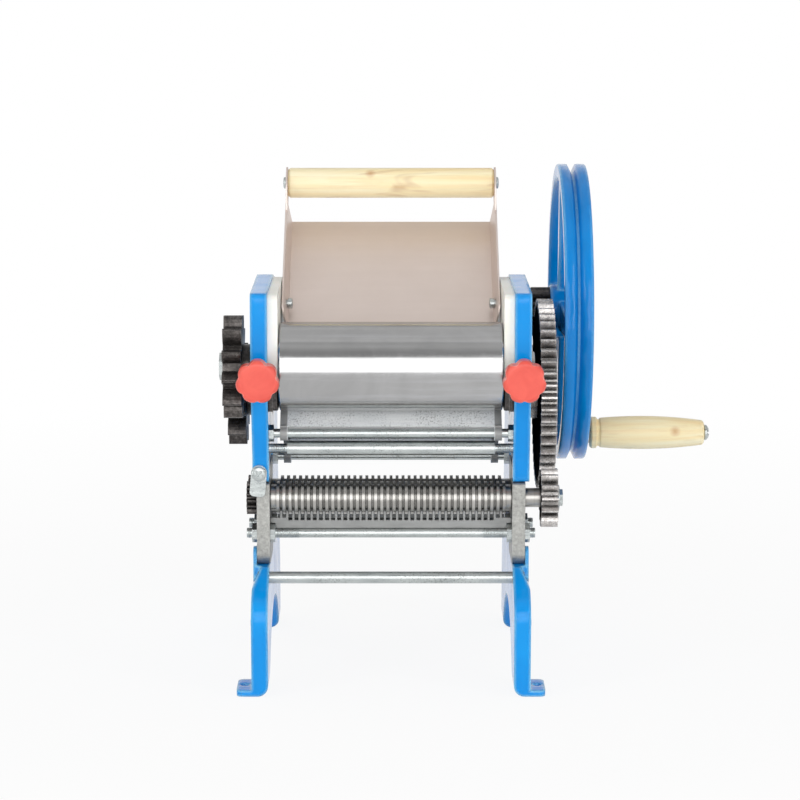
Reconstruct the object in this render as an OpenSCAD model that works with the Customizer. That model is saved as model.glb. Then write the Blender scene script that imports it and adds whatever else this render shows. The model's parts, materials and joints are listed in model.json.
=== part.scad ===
// Hand-cranked noodle machine for the table top. Two cast side frames carry a pair of
// pressing rollers, a head of interleaved ring cutters below them, a hinged feed tray
// and a belt-groove handwheel with a crank.
// Millimetres. X points right to the handwheel, Y to the back, Z up.
// The origin lies on the table, midway between the four foot holes.

/* [Side frames] */
// Clear width between the two frames
frame_gap = 163; // [150:1:190]
// Thickness of each frame
frame_t = 11; // [10:0.5:16]
// Depth of the base, front to back
base_d = 208; // [200:1:240]
// Depth of each foot
foot_d = 30; // [26:1:36]
// Height of the arch between the feet
arch_h = 42; // [20:1:50]
// Height at which the rear leg starts to lean in
shoulder_h = 45; // [35:1:60]
// Height of the front leg's knuckle
instep_h = 60; // [50:1:66]
// Radius of the head round the handwheel shaft
head_r = 20; // [18:0.5:24]
// Metal in front of the bearing slot
front_wall = 6.6; // [5:0.2:10]
// Height of the frame above the front roller axis
top_rise = 52; // [46:1:64]
// How far each foot pad stands out
pad_w = 10; // [9:0.5:16]
// Thickness of the foot pads
pad_t = 4; // [3:0.5:8]
// Diameter of the foot holes
foot_hole_d = 6; // [4:0.5:7]
// Bend radius at the inner bottom edge
bend_r = 7; // [4:0.5:9]
// Depth of the blind rod holes
rod_seat = 8; // [5:0.5:9]

/* [Dough cheeks] */
// Thickness of the white dough cheeks
cheek_t = 7; // [5:0.5:9]

/* [Pressing rollers] */
// Diameter of each roller
roller_d = 59.4; // [55:0.2:63]
// Gap between the rollers at the thinnest setting
roller_gap = 0.6; // [0.4:0.1:1]
// Height of the front roller axis above the table
roller_h = 214; // [208:1:225]
// Front roller axis behind the front of the base
roller_setback = 48; // [44:1:54]
// Slope from the front roller axis down to the rear one, in degrees
roller_tilt = 27.3; // [24:0.1:30]
// Diameter of the roller shafts
shaft_d = 20; // [17:0.5:22]
// Diameter of the gear seats on the shafts
gear_seat_d = 13; // [11:0.5:13.5]
// Diameter of the threaded shaft ends
stud_d = 10; // [8:0.5:10.5]
// Outer diameter of the rear roller's bushes
roller_bush_d = 28; // [26:0.5:32]

/* [Gap setting] */
// Depth of each bearing block
block_d = 30; // [28:0.5:34]
// Height of each bearing block
block_h = 40; // [36:0.5:44]
// Travel of the front roller
gap_travel = 3; // [1:0.5:4]
// Diameter of the adjusting screws
screw_d = 10; // [8:0.5:10]
// Depth of the screw's swivel in the block
swivel_l = 3.8; // [2:0.2:4]
// Diameter of the star knobs
knob_d = 28.7; // [26:0.1:29]
// Thickness of a knob's lobes
knob_t = 12; // [10:0.5:16]
// Number of lobes on a knob
knob_lobes = 7; // [5:1:8]

/* [Gears] */
// Teeth of each roller gear
roller_teeth = 12; // [12:1:15]
// Face width of the roller gears
roller_gear_w = 12.5; // [10:0.5:16]
// Module of the drive train
drive_module = 2.5; // [2.3:0.1:2.6]
// Teeth of the drive gear
drive_teeth = 50; // [48:1:52]
// Face width of the drive gear
drive_gear_w = 10.6; // [8:0.2:12]
// Teeth of the handwheel pinion
wheel_pinion_teeth = 12; // [12:1:14]
// Teeth of the cutter pinion
cutter_pinion_teeth = 14; // [13:1:16]
// Teeth of each cutter gear
cutter_teeth = 16; // [14:1:20]
// Face width of the cutter gears
cutter_gear_w = 6.6; // [5:0.2:8]
// Pressure angle of all teeth, in degrees
pressure_angle = 25; // [24:0.5:26]
// Play between teeth, as a share of the module
backlash = 0.16; // [0.12:0.01:0.2]
// Direction of the handwheel from the rear roller, in degrees
wheel_angle = 38.3; // [36:0.1:42]
// Direction of the front cutter from the rear roller, in degrees
cutter_angle = 231.45; // [229:0.05:233]

/* [Cutter head] */
// Diameter of the cutting rings
ring_d = 22; // [20:0.2:23]
// Width of one ring, which is the noodle width
ring_w = 2; // [1.8:0.1:4]
// Diameter of the core between the rings
core_d = 17.6; // [15.6:0.2:18.4]
// Diameter of the cutter journals
journal_d = 13; // [11:0.5:14]
// Diameter of the gear seats on the cutters
cutter_seat_d = 10; // [8:0.5:10.5]
// Thickness of the cutter plates
plate_t = 8.7; // [7:0.1:9.5]
// Cutter plate in front of the front cutter axis
plate_reach = 13.3; // [12.5:0.1:14]
// Cutter plate behind the rear cutter axis
plate_tail = 18.5; // [15:0.5:22]
// Cutter plate below the axes
plate_drop = 44; // [40:0.5:47]
// Cutter plate above the axes
plate_rise = 22; // [20:0.5:24]
// Diameter of the head's tie rods
head_rod_d = 6.6; // [5:0.2:7]
// Drop from the cutter axes to the tie rods
head_rod_drop = 23; // [22:0.5:26]
// Width of the head's nuts across the flats
head_nut_af = 11.5; // [11:0.5:13]
// Thickness of the head's nuts
head_nut_t = 3.4; // [2.5:0.1:4]
// Thickness of the combs
comb_t = 1.4; // [1:0.1:1.8]
// Width of one comb finger
finger_w = 1.4; // [1:0.1:1.6]

/* [Rods and scrapers] */
// Diameter of the upper tie rod
upper_rod_d = 10; // [8:0.5:11]
// Diameter of the upper tie rod's ends
upper_end_d = 6; // [5:0.5:7]
// Length of each thin end of the upper tie rod
upper_end_l = 12; // [8:0.5:16]
// Diameter of the lower and rear tie rods and of the tray rest
tie_rod_d = 8; // [6:0.5:9]
// Diameter of the scraper rods
scraper_rod_d = 6; // [5:0.5:7]
// Thickness of the scraper blades
scraper_t = 1.5; // [1:0.1:2]
// Length of the blade from tip to fold
scraper_l = 13.3; // [11:0.1:14]
// Width of the lugs at the blade's ends
scraper_lug_w = 5; // [4:0.5:7]
// Thickness of the scraper nuts
scraper_nut_t = 3.3; // [2.5:0.1:4]
// Width of the scraper nuts across the flats
scraper_nut_af = 10; // [9:0.5:11]

/* [Latch] */
// Width of the latch strap
latch_w = 10.5; // [9:0.5:11]
// Thickness of the latch strap
latch_t = 2.5; // [2:0.1:4]
// Strap below its screw
latch_l = 16; // [13:0.5:18]
// Lean of the strap, bottom outward, in degrees
latch_lean = 5; // [0:1:8]
// Diameter of the latch screw
latch_screw_d = 5; // [4:0.5:6]
// Diameter of the latch screw's head
latch_head_d = 9.5; // [8:0.5:10]

/* [Handwheel] */
// Diameter of the handwheel
wheel_d = 208; // [190:1:220]
// Width of the rim
rim_w = 19.5; // [16:0.5:22]
// Height of the rim's section
rim_h = 11; // [10:0.5:14]
// Width of the belt groove
groove_w = 6.4; // [5:0.2:9]
// Depth of the belt groove
groove_depth = 6.5; // [4:0.2:7]
// Diameter of the hub
hub_d = 38; // [32:1:44]
// Length of the hub
hub_l = 18; // [16:0.5:22]
// Number of spokes
spokes = 4; // [4:1:6]
// Width of a spoke at the hub
spoke_root_w = 20; // [14:0.5:24]
// Width of a spoke at the rim
spoke_tip_w = 14; // [10:0.5:18]
// Thickness of a spoke
spoke_t = 8; // [6:0.5:10]
// Diameter of the handwheel shaft
wheel_shaft_d = 16; // [14:0.5:18]
// Outer diameter of the shaft's bushes
wheel_bush_d = 24; // [22:0.5:26]
// Face width of the handwheel pinion
wheel_pinion_w = 13.5; // [13:0.5:16]
// Radius of the crank
crank_r = 87; // [80:0.5:90]
// Diameter of the crank bolt
crank_bolt_d = 8; // [7:0.5:10]
// Diameter of the crank boss
crank_boss_d = 20; // [18:0.5:24]
// Length of the wooden grip
grip_l = 81; // [70:1:110]
// Largest diameter of the grip
grip_d = 23.6; // [21:0.2:28]

/* [Feed tray] */
// Slope of the tray, in degrees
tray_tilt = 36; // [32:0.5:42]
// Tray in front of its pivot
tray_front = 20; // [16:0.5:22]
// Tray behind its pivot
tray_rear = 90; // [80:1:110]
// Depth of the tray's floor below the pivot
tray_floor = 7; // [6:0.5:9]
// Thickness of the tray's sheet
sheet_t = 1.2; // [0.8:0.1:1.5]
// Height of the side flanges
flange_h = 22; // [18:0.5:23]
// Outward lean of the flanges, in degrees
flange_lean = 8; // [4:0.5:8.5]
// Diameter of the pivot screws
pivot_d = 5; // [4:0.5:6]
// Diameter of the wooden handle
handle_d = 21; // [18:0.5:24]
// Handle behind the end of the tray
handle_out = 14; // [12:0.5:20]
// Handle above the pivot line
handle_rise = 17.2; // [15:0.2:20]

/* [Hidden] */

// Circles are drawn with this many sides
$fn = 96;

// Fits: radial play of running shafts, of seated pieces and of sliding blocks
running_fit = 0.08;
seat_fit = 0.03;
slide_fit = 0.1;
// End play of turning pieces against the frames, and the gap of moving sheet metal
side_play = 0.4;
near = 0.3;
// Overshoot of cutting bodies
cut = 1;

// Colours of the finished pieces
cast_blue = [0.14, 0.6, 0.93];
cream = [0.93, 0.92, 0.88];
steel = [0.72, 0.73, 0.74];
zinc = [0.8, 0.8, 0.78];
iron = [0.52, 0.53, 0.54];
black_iron = [0.14, 0.14, 0.15];
bronze = [0.66, 0.5, 0.28];
coral = [0.88, 0.25, 0.22];
sheet_grey = [0.7, 0.68, 0.64];
pine = [0.85, 0.68, 0.45];

// Axes as [Y, Z]
function polar(r, a) = r * [cos(a), sin(a)];
roller_pitch = roller_d + roller_gap;
drive_r = drive_module * drive_teeth / 2;
wheel_pinion_r = drive_module * wheel_pinion_teeth / 2;
cutter_pinion_r = drive_module * cutter_pinion_teeth / 2;
cutter_gap = 0.2;
cutter_pitch = (ring_d + core_d) / 2 + cutter_gap;
front_axis = [roller_setback - base_d / 2, roller_h];
rear_axis = front_axis + polar(roller_pitch, -roller_tilt);
wheel_axis = rear_axis + polar(drive_r + wheel_pinion_r, wheel_angle);
cutter_axis = rear_axis + polar(drive_r + cutter_pinion_r, cutter_angle);
back_cutter_axis = cutter_axis + [cutter_pitch, 0];

// Gear modules that follow from the centre distances
roller_module = roller_pitch / roller_teeth;
cutter_module = cutter_pitch / cutter_teeth;
roller_tip_r = roller_pitch / 2 + roller_module;

// Faces along X, measured outward from the middle
frame_in = frame_gap / 2;
frame_out = frame_in + frame_t;
frame_mid = frame_in + frame_t / 2;
cheek_in = frame_in - cheek_t;
end_play = 0.5;
roller_end = cheek_in - end_play;
hub_face = frame_out + side_play;
roller_hub_l = 5.6;
roller_gear_in = hub_face + roller_hub_l;
roller_gear_out = roller_gear_in + roller_gear_w;
drive_hub_l = 7.1;
drive_gear_in = hub_face + drive_hub_l;
drive_gear_out = drive_gear_in + drive_gear_w;
drive_recess = 3.6;
drive_seat = drive_gear_out - drive_recess;
pinion_lap = 1.5;
wheel_pinion_in = drive_gear_in - pinion_lap;
wheel_pinion_out = max(wheel_pinion_in + wheel_pinion_w, drive_gear_out + side_play);
cutter_pinion_in = drive_gear_in + 0.6;
cutter_pinion_out = max(drive_gear_out, wheel_pinion_out);
plate_proud = 0.3;
plate_in = frame_in - plate_proud;
plate_out = plate_in + plate_t;
cutter_gear_in = plate_out + side_play;
cutter_gear_out = cutter_gear_in + cutter_gear_w;
rod_end = frame_in + rod_seat - near;

// Bearing slot and adjusting screws
slot_end = 0.4;
screw_drop = 3;
screw_axis = front_axis - [0, screw_drop];
block_front = front_axis[0] - block_d / 2;
slot_front = block_front - gap_travel - slot_end;
slot_back = front_axis[0] + block_d / 2 + slide_fit;
frame_front = slot_front - front_wall;
frame_top = roller_h + top_rise;

// Cutter plates and the pocket that holds them
plate_front = cutter_axis[0] - plate_reach;
plate_back = back_cutter_axis[0] + plate_tail;
plate_bottom = cutter_axis[1] - plate_drop;
plate_top = cutter_axis[1] + plate_rise;
plate_step_rise = 12.4;
plate_step_top = cutter_axis[1] + plate_step_rise;
plate_step = cutter_axis[0] + cut;
pocket_side = 5;
pocket_over = 4;
pocket_top = plate_top + pocket_over;
pocket_back = plate_back + pocket_side;
lip_gap = 0.6;
lip_front = plate_front - 0.2;
lip_back = plate_step - lip_gap;
lip_bottom = plate_step_top + lip_gap;
lip_h = 16;
floor_front = plate_front - pocket_side;

// Rods as [Y, Z]
upper_rod = [front_axis[0] - 2, pocket_top + 9];
lower_rod = [plate_front - 4.2, plate_bottom - 7];
rear_rod_in = 28;
rear_rod_up = 47;
rear_rod = [base_d / 2 - rear_rod_in, shoulder_h + rear_rod_up];
front_head_rod = [cutter_axis[0] - 5.5, cutter_axis[1] - head_rod_drop];
back_head_rod = [back_cutter_axis[0] + 5.5, cutter_axis[1] - head_rod_drop];
head_rod_end = plate_out + 7;

// Scrapers lean against the rollers from below
scraper_air = 0.5;
scraper_slope = 46.2;
scraper_tip_a = 8;
scraper_rod_in = 4;
scraper_rod_drop = 14.8;
front_scraper_axis = front_axis + [-scraper_rod_in, -roller_d / 2 - scraper_rod_drop];
back_scraper_axis = rear_axis + [scraper_rod_in, -roller_d / 2 - scraper_rod_drop];

// Feed tray: pivot, and points in the tray's own sloping frame
pivot_set = 7.3;
pivot_drop = 16;
tray_pivot = [rear_axis[0] - pivot_set, frame_top - pivot_drop];
flange_gap = 0.7;
flange_foot = tray_floor + sheet_t;
flange_top_x = cheek_in - flange_gap;
fold_x = flange_top_x - flange_h * sin(flange_lean);
handle_u = tray_rear + handle_out;
arm_set = 0.3;
arm_x = flange_top_x - sheet_t - arm_set;
rest_u = 15.8;
rest_v = -flange_foot - tie_rod_d / 2 - near;
rest_rod = tray_pivot + [rest_u * cos(tray_tilt) - rest_v * sin(tray_tilt),
                         rest_u * sin(tray_tilt) + rest_v * cos(tray_tilt)];
pivot_head_t = 2.7;
pivot_head_d = pivot_d + 2;
pivot_x = fold_x - sheet_t / cos(flange_lean) + (flange_foot - pivot_head_d / 2) * tan(flange_lean) - slide_fit;
pivot_seat = 6.5;

// Dough cheeks
cheek_set = 3;
cheek_front = frame_front + cheek_set;
cheek_back = rest_rod[0] + tie_rod_d;
cheek_bottom = front_axis[1] - 9;
cheek_top = frame_top - cut;

// Handwheel
hub_in = wheel_pinion_out;
hub_out = hub_in + hub_l;
rim_in = hub_in + 4.5;
rim_out = rim_in + rim_w;
rim_mid = (rim_in + rim_out) / 2;
rim_r = wheel_d / 2 - rim_h;
spoke_in = hub_in + 6;
wheel_nut_t = 8;
wheel_nut_af = 19;
wheel_stud_d = 12;
collar_d = 26;
collar_t = 4.1;
crank_nut_t = 5;
crank_nut_af = 13;
crank_axis = wheel_axis - [0, crank_r];
grip_in = rim_out + crank_nut_t + side_play;
grip_out = grip_in + grip_l;
crank_head_in = grip_out + side_play;
crank_head_t = 3.7;
crank_head_d = crank_bolt_d + 3;

// Side frame outline, front top corner first, as [Y, Z, corner radius]
waist_in = 15;
waist_drop = 104;
waist_r = 40;
shoulder_r = 30;
instep_r = 20;
knob_step = 8;
knob_step_r = 15;
frame_corners = [
    [frame_front, frame_top, 4],
    [cheek_back + 2, frame_top, 12],
    [wheel_axis[0] + head_r, wheel_axis[1] + head_r, head_r],
    [wheel_axis[0] + waist_in, wheel_axis[1] - waist_drop, waist_r],
    [base_d / 2, shoulder_h, shoulder_r],
    [base_d / 2, 0, 0],
    [-base_d / 2, 0, 0],
    [-base_d / 2, instep_h, instep_r],
    [floor_front, plate_bottom, 3],
    [pocket_back, plate_bottom, 8],
    [pocket_back, pocket_top, 8],
    [lip_back, pocket_top, 2],
    [lip_back, lip_bottom, 2],
    [lip_front, lip_bottom, 4],
    [lip_front, lip_bottom + lip_h, 6],
    [frame_front, front_axis[1] - knob_step, knob_step_r]
];
arch_w = base_d / 2 - foot_d;
arch_r = (arch_w * arch_w + arch_h * arch_h) / (2 * arch_h);
foot_hole_x = frame_out + pad_w / 2;
foot_hole_y = base_d / 2 - foot_d / 2;

// Outline helpers: corners [x, y, radius] become arcs of short chords
arc_steps = 9;
function xy(p) = [p[0], p[1]];
function unit(v) = v / norm(v);
function corner_arc(a, b, c) = b[2] == 0 ? [xy(b)] :
    let (u = unit(xy(a) - xy(b)), v = unit(xy(c) - xy(b)), half = acos(u * v) / 2,
         centre = xy(b) + unit(u + v) * b[2] / sin(half),
         s = xy(b) + u * b[2] / tan(half) - centre,
         e = xy(b) + v * b[2] / tan(half) - centre,
         start = atan2(s[1], s[0]), sweep = atan2(s[0] * e[1] - s[1] * e[0], s * e))
    [for (k = [0 : arc_steps]) centre + polar(b[2], start + sweep * k / arc_steps)];
function rounded(c) =
    [for (i = [0 : len(c) - 1]) each corner_arc(c[(i + len(c) - 1) % len(c)], c[i], c[(i + 1) % len(c)])];

// Involute teeth as [radius, angle] from the root up one flank and down the other
flank_steps = 4;
function involute(a) = tan(a) * 180 / PI - a;
function tooth(m, n) =
    let (pitch_r = m * n / 2, base_r = pitch_r * cos(pressure_angle),
         tip_r = pitch_r + m, root_r = pitch_r - 1.25 * m, low_r = max(base_r, root_r),
         half = 90 / n - backlash * m / (4 * pitch_r) * 180 / PI + involute(pressure_angle),
         flank = [for (k = [0 : flank_steps]) let (r = low_r + (tip_r - low_r) * k / flank_steps)
                  [r, half - involute(acos(min(1, base_r / r)))]],
         side = concat(root_r < base_r ? [[root_r, half]] : [], flank))
    concat([for (p = side) [p[0], -p[1]]], [for (k = [len(side) - 1 : -1 : 0]) side[k]]);
function gear_outline(m, n, turn) =
    [for (i = [0 : n - 1]) each [for (p = tooth(m, n)) polar(p[0], p[1] + turn + 360 / n * i)]];
// Turn of a gear with n_b teeth that meshes with one of n_a teeth, in direction dir
function meshed(turn_a, n_a, n_b, dir) = dir + 180 + 180 / n_b + (dir - turn_a) * n_a / n_b;

front_gear_turn = 7;
rear_gear_turn = meshed(front_gear_turn, roller_teeth, roller_teeth, -roller_tilt);
wheel_pinion_turn = meshed(0, drive_teeth, wheel_pinion_teeth, wheel_angle);
cutter_pinion_turn = meshed(0, drive_teeth, cutter_pinion_teeth, cutter_angle);
back_cutter_turn = meshed(0, cutter_teeth, cutter_teeth, 0);

// Ring cutters: the rings of one stand between the rings of the other
ring_side = 0.05;
ring_pitch = 2 * (ring_w + ring_side);
ring_room = 4;
ring_count = floor((2 * plate_in - 2 * ring_room - ring_w) / ring_pitch) + 1;

// Shape helpers
// A profile in Y and Z, thickened along X from x0
module side(x0, w) {
    translate([x0, 0, 0]) rotate([90, 0, 90]) linear_extrude(w) children();
}
// A profile in X and Z, thickened towards the front from y0
module face(y0, w) {
    translate([0, y0, 0]) rotate([90, 0, 0]) linear_extrude(w) children();
}
// Move to a point [Y, Z]
module at(p) {
    translate([0, p[0], p[1]]) children();
}
// Round bar along X
module bar(d, x0, x1) {
    translate([x0, 0, 0]) rotate([0, 90, 0]) cylinder(d = d, h = x1 - x0);
}
// Round bar along Y
module pin(d, y0, y1) {
    translate([0, y0, 0]) rotate([-90, 0, 0]) cylinder(d = d, h = y1 - y0);
}
// Hexagon along X
module hex(af, x0, x1) {
    translate([x0, 0, 0]) rotate([0, 90, 0]) cylinder(d = af / cos(30), h = x1 - x0, $fn = 6);
}
// Hexagon nut along X
module nut(af, bore, x0, x1) {
    difference() {
        hex(af, x0, x1);
        bar(bore, x0 - cut, x1 + cut);
    }
}
// Turned piece about X, from points [radius, X]
module turned(points) {
    rotate([0, 90, 0]) rotate_extrude() polygon(points);
}
// A piece and its mirror image on the other side
module both() {
    children();
    mirror([1, 0, 0]) children();
}
// Bush in the right frame
module bush(od, id) {
    difference() {
        bar(od, frame_in, frame_out);
        bar(id, frame_in - cut, frame_out + cut);
    }
}

// Side frames
// Foot pad outside the right frame, with s for front or back
module foot_pad(s) {
    pad_r = 4;
    pad_set = 1.5;
    mirror([0, s < 0 ? 1 : 0, 0]) linear_extrude(pad_t) polygon(rounded([
        [frame_mid, base_d / 2 - foot_d + pad_set, 0],
        [frame_out + pad_w, base_d / 2 - foot_d + pad_set, pad_r],
        [frame_out + pad_w, base_d / 2, pad_r],
        [frame_mid, base_d / 2, 0]
    ]));
}
// Small ear on the pocket floor, outside the cutter plate
module plate_ear() {
    ear_w = 12;
    ear_h = 12;
    ear_r = 5;
    side(plate_out + near, frame_out - plate_out - near) polygon(rounded([
        [plate_front, plate_bottom - cut, 0],
        [plate_front + ear_w, plate_bottom - cut, 0],
        [plate_front + ear_w, plate_bottom + ear_h, ear_r],
        [plate_front, plate_bottom + ear_h, ear_r]
    ]));
}
// Slope on the outer edge of the front leg's top
module leg_slope() {
    slope_w = frame_t / 2;
    slope_h = 11;
    face(plate_front - cut, base_d) polygon([
        [frame_out - slope_w, plate_bottom],
        [frame_out - slope_w, plate_bottom + cut],
        [frame_out + cut, plate_bottom + cut],
        [frame_out + cut, plate_bottom - slope_h],
        [frame_out, plate_bottom - slope_h]
    ]);
}
// Waste below the round bend of the legs' inner edge
module bend_waste() {
    bend = [for (k = [0 : arc_steps]) [frame_in + bend_r, bend_r] - polar(bend_r, 90 * k / arc_steps)];
    face(base_d / 2 + cut, base_d + 2 * cut) polygon(concat(
        [[frame_in - cut, -cut], [frame_in - cut, bend_r]],
        bend,
        [[frame_in + bend_r, -cut]]
    ));
}
module blind_hole(p, d) {
    at(p) bar(d + 2 * seat_fit, frame_in - cut, frame_in + rod_seat);
}
module casting() {
    difference() {
        union() {
            side(frame_in, frame_t) polygon(rounded(frame_corners));
            foot_pad(-1);
            foot_pad(1);
            plate_ear();
        }
        at([0, arch_h - arch_r]) bar(2 * arch_r, frame_in - cut, frame_out + cut);
        at(rear_axis) bar(roller_bush_d + 2 * seat_fit, frame_in - cut, frame_out + cut);
        at(wheel_axis) bar(wheel_bush_d + 2 * seat_fit, frame_in - cut, frame_out + cut);
        side(frame_in - cut, frame_t + 2 * cut)
            translate([slot_front, front_axis[1] - block_h / 2 - slide_fit])
            square([slot_back - slot_front, block_h + 2 * slide_fit]);
        translate([frame_mid, 0, screw_axis[1]])
            pin(screw_d + 2 * running_fit, frame_front - cut, slot_front + cut);
        blind_hole(upper_rod, upper_end_d);
        blind_hole(lower_rod, tie_rod_d);
        blind_hole(rear_rod, tie_rod_d);
        blind_hole(rest_rod, tie_rod_d);
        blind_hole(front_scraper_axis, scraper_rod_d);
        blind_hole(back_scraper_axis, scraper_rod_d);
        blind_hole(tray_pivot, pivot_d);
        for (s = [-1, 1])
            translate([foot_hole_x, s * foot_hole_y, -cut]) cylinder(d = foot_hole_d, h = pad_t + 2 * cut);
        bend_waste();
        leg_slope();
    }
}
latch_x = -frame_mid - 1;
latch_z = lip_bottom + 7;
latch_back = lip_front - near;
latch_front = latch_back - latch_t;
latch_seat = 10;
module left_frame() {
    color(cast_blue) difference() {
        mirror([1, 0, 0]) casting();
        translate([latch_x, 0, latch_z])
            pin(latch_screw_d + 2 * seat_fit, lip_front - cut, lip_front + latch_seat + near);
    }
}
module right_frame() {
    color(cast_blue) casting();
}

// Dough cheeks
module cheek() {
    cheek_r = 5;
    shaft_slot = shaft_d + 2;
    difference() {
        side(cheek_in, cheek_t) polygon(rounded([
            [cheek_front, cheek_bottom, cheek_r],
            [cheek_back, cheek_bottom, cheek_r],
            [cheek_back, cheek_top, cheek_r],
            [cheek_front, cheek_top, cheek_r]
        ]));
        for (y = [0, gap_travel])
            at(front_axis - [y, 0]) bar(shaft_slot, cheek_in - cut, frame_in + cut);
        side(cheek_in - cut, cheek_t + 2 * cut)
            translate([front_axis[0] - gap_travel - shaft_slot / 2, cheek_bottom - cut])
            square([gap_travel + shaft_slot, front_axis[1] - cheek_bottom + cut]);
        side(cheek_in - cut, cheek_t + 2 * cut)
            translate([front_axis[0] - gap_travel, front_axis[1]])
            square([gap_travel, shaft_slot / 2]);
        at(tray_pivot) bar(pivot_d + 2 * seat_fit, cheek_in - cut, frame_in + cut);
        at(rest_rod) bar(tie_rod_d + 2 * seat_fit, cheek_in - cut, frame_in + cut);
    }
}
module left_cheek() {
    color(cream) mirror([1, 0, 0]) cheek();
}
module right_cheek() {
    color(cream) cheek();
}

// Bushes
module rear_roller_bushes() {
    color(bronze) both() at(rear_axis) bush(roller_bush_d, shaft_d + 2 * running_fit);
}
module wheel_shaft_bushes() {
    color(bronze) both() at(wheel_axis) bush(wheel_bush_d, wheel_shaft_d + 2 * running_fit);
}

// Tie rods
module upper_tie_rod() {
    color(zinc) at(upper_rod) {
        bar(upper_rod_d, upper_end_l - frame_in, frame_in - upper_end_l);
        bar(upper_end_d, -rod_end, rod_end);
    }
}
module lower_tie_rod() {
    color(zinc) at(lower_rod) bar(tie_rod_d, -rod_end, rod_end);
}
module rear_tie_rod() {
    color(zinc) at(rear_rod) bar(tie_rod_d, -rod_end, rod_end);
}
module tray_rest_rod() {
    color(zinc) at(rest_rod) bar(tie_rod_d, -rod_end, rod_end);
}

// Scrapers
// Blade below a roller with its axis at the origin, with its lugs on the rod
module scraper() {
    lug_d = scraper_rod_d + 4;
    rod_at = [-scraper_rod_in, -roller_d / 2 - scraper_rod_drop];
    tip = polar(roller_d / 2 + scraper_air, scraper_tip_a - 90);
    fold = tip - polar(scraper_l, scraper_slope);
    side(-roller_end, 2 * roller_end)
        translate(tip) rotate(scraper_slope + 180) square([scraper_l, scraper_t]);
    reach = norm(fold - rod_at);
    both() difference() {
        side(roller_end - scraper_lug_w, scraper_lug_w) {
            translate(rod_at) circle(d = lug_d);
            translate(rod_at) rotate(atan2(fold[1] - rod_at[1], fold[0] - rod_at[0]))
                translate([0, -scraper_t]) square([reach + scraper_t / 2, 2 * scraper_t]);
        }
        at(rod_at) bar(scraper_rod_d + 2 * seat_fit, 0, frame_in);
    }
}
module front_scraper() {
    color(steel) at(front_axis) scraper();
}
module rear_scraper() {
    color(steel) at(rear_axis) mirror([0, 1, 0]) scraper();
}
module front_scraper_rod() {
    color(zinc) at(front_scraper_axis) bar(scraper_rod_d, -rod_end, rod_end);
}
module rear_scraper_rod() {
    color(zinc) at(back_scraper_axis) bar(scraper_rod_d, -rod_end, rod_end);
}
module scraper_nuts() {
    color(zinc) for (p = [front_scraper_axis, back_scraper_axis])
        both() at(p) nut(scraper_nut_af, scraper_rod_d + 2 * seat_fit, frame_in - scraper_nut_t, frame_in);
}

// Cutter head
module cutter_plate() {
    foot_r = 8;
    step_r = 2;
    difference() {
        side(plate_in, plate_t) polygon(rounded([
            [plate_front, plate_bottom, foot_r],
            [plate_back, plate_bottom, foot_r],
            [plate_back, plate_top, step_r],
            [plate_step, plate_top, step_r],
            [plate_step, plate_step_top, step_r],
            [plate_front, plate_step_top, step_r]
        ]));
        for (p = [cutter_axis, back_cutter_axis])
            at(p) bar(journal_d + 2 * running_fit, plate_in - cut, plate_out + cut);
        for (p = [front_head_rod, back_head_rod])
            at(p) bar(head_rod_d + 2 * seat_fit, plate_in - cut, plate_out + cut);
    }
}
module left_cutter_plate() {
    color(iron) mirror([1, 0, 0]) cutter_plate();
}
module right_cutter_plate() {
    color(iron) cutter_plate();
}
module cutter_tie_rods() {
    color(zinc) for (p = [front_head_rod, back_head_rod])
        at(p) bar(head_rod_d, -head_rod_end, head_rod_end);
}
module cutter_rod_nuts() {
    color(zinc) for (p = [front_head_rod, back_head_rod], x = [plate_in - head_nut_t, plate_out])
        both() at(p) nut(head_nut_af, head_rod_d + 2 * seat_fit, x, x + head_nut_t);
}
// Comb on a tie rod: fingers reach up between the rings to the core of the cutter
module comb(rod, gaps) {
    comb_air = 0.3;
    edge = head_rod_drop - sqrt(pow(core_d / 2, 2) - pow(5.5 - comb_t / 2, 2));
    strip_z = head_rod_d / 2 + slide_fit;
    tab_z = head_nut_af / cos(30) / 2 + near;
    tab_h = 3.5;
    tab_l = 11;
    strip_end = plate_in - head_nut_t - near;
    at(rod) face(comb_t / 2, comb_t) {
        translate([-strip_end, strip_z]) square([2 * strip_end, tab_z - strip_z + tab_h / 2]);
        for (x = [slide_fit - plate_in, plate_in - tab_l])
            translate([x, tab_z]) square([tab_l - slide_fit, tab_h]);
        for (k = [0 : gaps - 1])
            translate([(k - (gaps - 1) / 2) * ring_pitch - finger_w / 2, strip_z])
            square([finger_w, edge - comb_air - strip_z]);
    }
}
module front_comb() {
    color(iron) comb(front_head_rod, ring_count - 1);
}
module rear_comb() {
    color(iron) comb(back_head_rod, ring_count - 2);
}
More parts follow.
